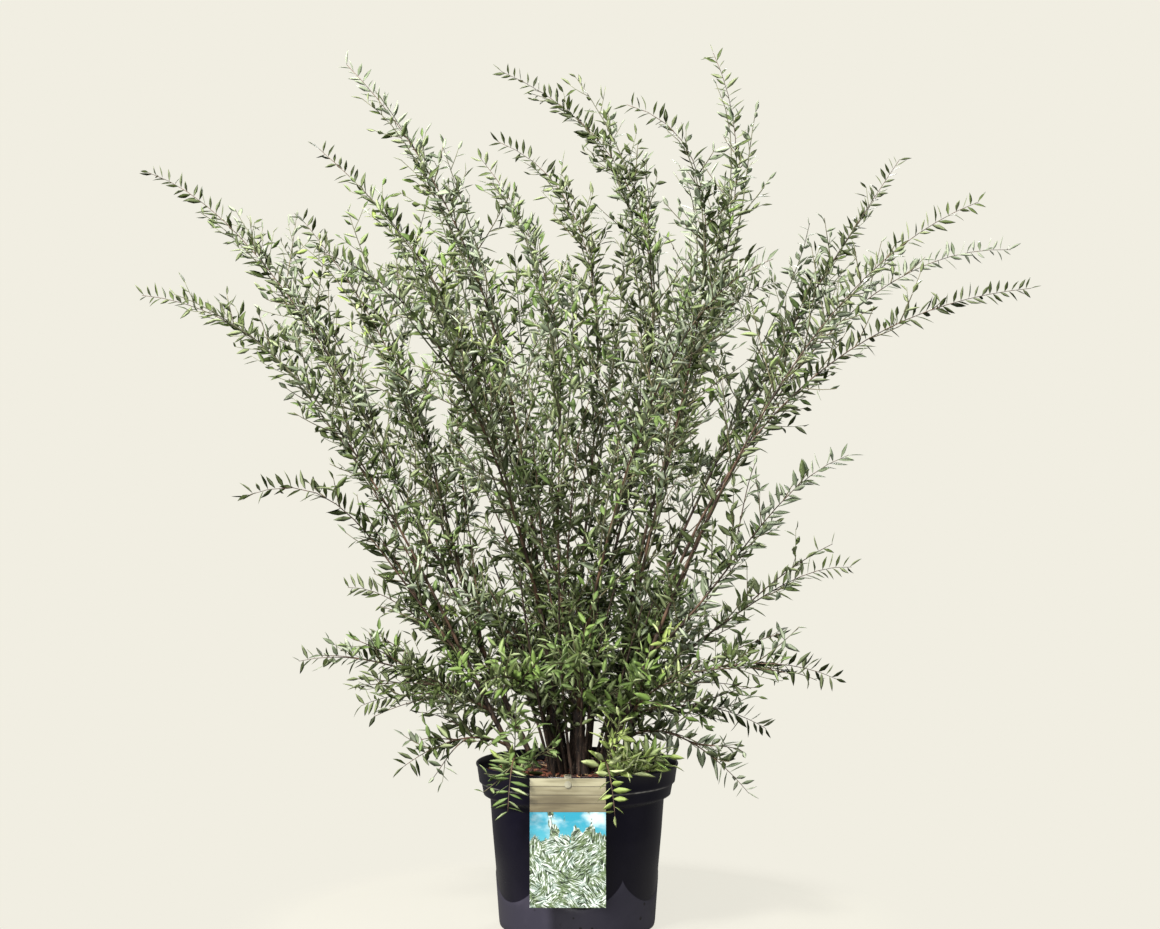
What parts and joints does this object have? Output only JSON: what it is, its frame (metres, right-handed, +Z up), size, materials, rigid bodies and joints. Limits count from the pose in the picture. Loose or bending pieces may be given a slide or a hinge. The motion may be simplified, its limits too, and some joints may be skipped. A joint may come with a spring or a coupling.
{
  "type": "potted spirea shrub",
  "caption": "Leafy, arching spirea shrub in a round black nursery pot with a hanging picture label; foot stems, canes and foliage masses are separate pieces.",
  "frame": {"origin": "centre of the pot's flat underside", "axes": "+Z up along the pot's axis; -Y is the front, where the label card hangs; +X to the right as seen from the front"},
  "size_m": [1.2668, 0.9512, 1.2113],
  "materials": {
    "pot": "moulded black plastic, satin gloss with scuffs",
    "soil": "moist bark and peat mulch",
    "label": "printed plastic card, satin",
    "hanger": "pale moulded clip",
    "bark": "dark brown bark, lined and flaking",
    "foliage": "narrow olive-green leaves on red-brown twigs"
  },
  "bodies": {
    "root": {"pot": "pot", "soil": "soil", "label_card": "label", "label_hanger": "hanger", "stem_left": "bark", "stem_front": "bark", "stem_right": "bark", "stem_back": "bark", "cane_left_high": "bark", "cane_left_top": "bark", "cane_left_wide": "bark", "cane_centre_left": "bark", "cane_top_arch": "bark", "cane_top_nod": "bark", "cane_top_right": "bark", "cane_right_high": "bark", "cane_right_top": "bark", "cane_right_wide": "bark", "cane_right_mid": "bark", "cane_front_left": "bark", "cane_front_right": "bark", "cane_back_left": "bark", "cane_back_right": "bark", "crown_left_high": "foliage", "crown_left_top": "foliage", "crown_left_wide": "foliage", "crown_centre_left": "foliage", "crown_top_arch": "foliage", "crown_top_nod": "foliage", "crown_top_right": "foliage", "crown_right_high": "foliage", "crown_right_top": "foliage", "crown_right_wide": "foliage", "crown_right_mid": "foliage", "crown_front_left": "foliage", "crown_front_right": "foliage", "crown_back_left": "foliage", "crown_back_right": "foliage", "skirt_left_arm": "foliage", "skirt_left_upper": "foliage", "skirt_left_mid": "foliage", "skirt_left_low": "foliage", "skirt_left_foot": "foliage", "skirt_right_arm": "foliage", "skirt_right_upper": "foliage", "skirt_right_mid": "foliage", "skirt_right_low": "foliage", "skirt_right_foot": "foliage", "skirt_front_sprig_left": "foliage", "skirt_front_sprig_right": "foliage", "skirt_front_low_left": "foliage", "skirt_front_low_mid": "foliage", "skirt_front_low_right": "foliage", "skirt_back_low_left": "foliage", "skirt_back_low_right": "foliage", "skirt_inner_left": "foliage", "skirt_inner_right": "foliage", "crown_left_spur": "foliage", "crown_left_arch": "foliage", "crown_centre_spur": "foliage"}
  },
  "joints": []
}
